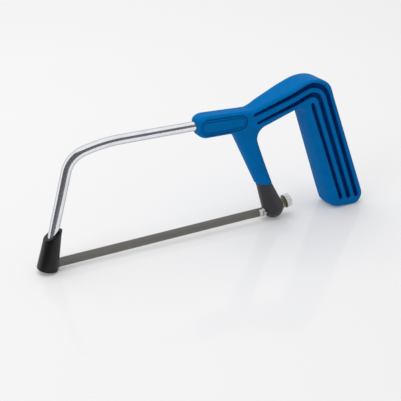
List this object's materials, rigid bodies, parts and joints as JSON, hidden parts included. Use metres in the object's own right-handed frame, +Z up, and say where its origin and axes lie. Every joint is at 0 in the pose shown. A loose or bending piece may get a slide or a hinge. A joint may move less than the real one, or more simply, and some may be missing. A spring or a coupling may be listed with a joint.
{
  "type": "mini hacksaw",
  "caption": "Mini hacksaw with a bent round bar frame, a grooved plastic grip, and a pinned narrow blade that a thumb nut pulls tight.",
  "frame": {"origin": "on the floor under the middle of the saw's length, as it stands on its front boot and its grip, in its middle plane", "axes": "+X from the front boot to the grip, +Y across the saw, +Z up, with the teeth down"},
  "size_m": [0.231, 0.02, 0.0954],
  "materials": {
    "chromed_bar": "polished chrome plate",
    "handle_plastic": "satin moulded blue",
    "boot_plastic": "satin moulded black",
    "blade_steel": "dark oiled steel",
    "pin_steel": "bright drawn steel",
    "plated_steel": "dull nickel plate"
  },
  "bodies": {
    "frame": {"frame_bar": "chromed_bar", "handle": "handle_plastic", "front_boot": "boot_plastic", "rear_boot": "boot_plastic", "washer": "plated_steel"},
    "saw_blade": {"blade": "blade_steel", "front_blade_pin": "pin_steel", "rear_blade_pin": "pin_steel"},
    "screw": {"tension_screw": "plated_steel"},
    "nut": {"thumb_nut": "plated_steel"}
  },
  "joints": [
    {"name": "nut_turn", "type": "hinge", "parent": "frame", "child": "nut", "pos_m": [0.05397, 0, 0.00899], "axis": [0.9759, 0, 0.2181], "range_deg": [0, 1285.72]},
    {"name": "screw_slide", "type": "slide", "parent": "frame", "child": "screw", "axis": [-0.9759, 0, -0.2181], "range_m": [0, 0.0025]},
    {"name": "blade_swing", "type": "hinge", "parent": "frame", "child": "saw_blade", "pos_m": [-0.11051, 0, 0.00375], "axis": [0, 1, 0], "range_deg": [0, 30]}
  ],
  "couplings": [
    {"joint": "nut_turn", "follows": "screw_slide", "rad_per_m": 8976}
  ]
}
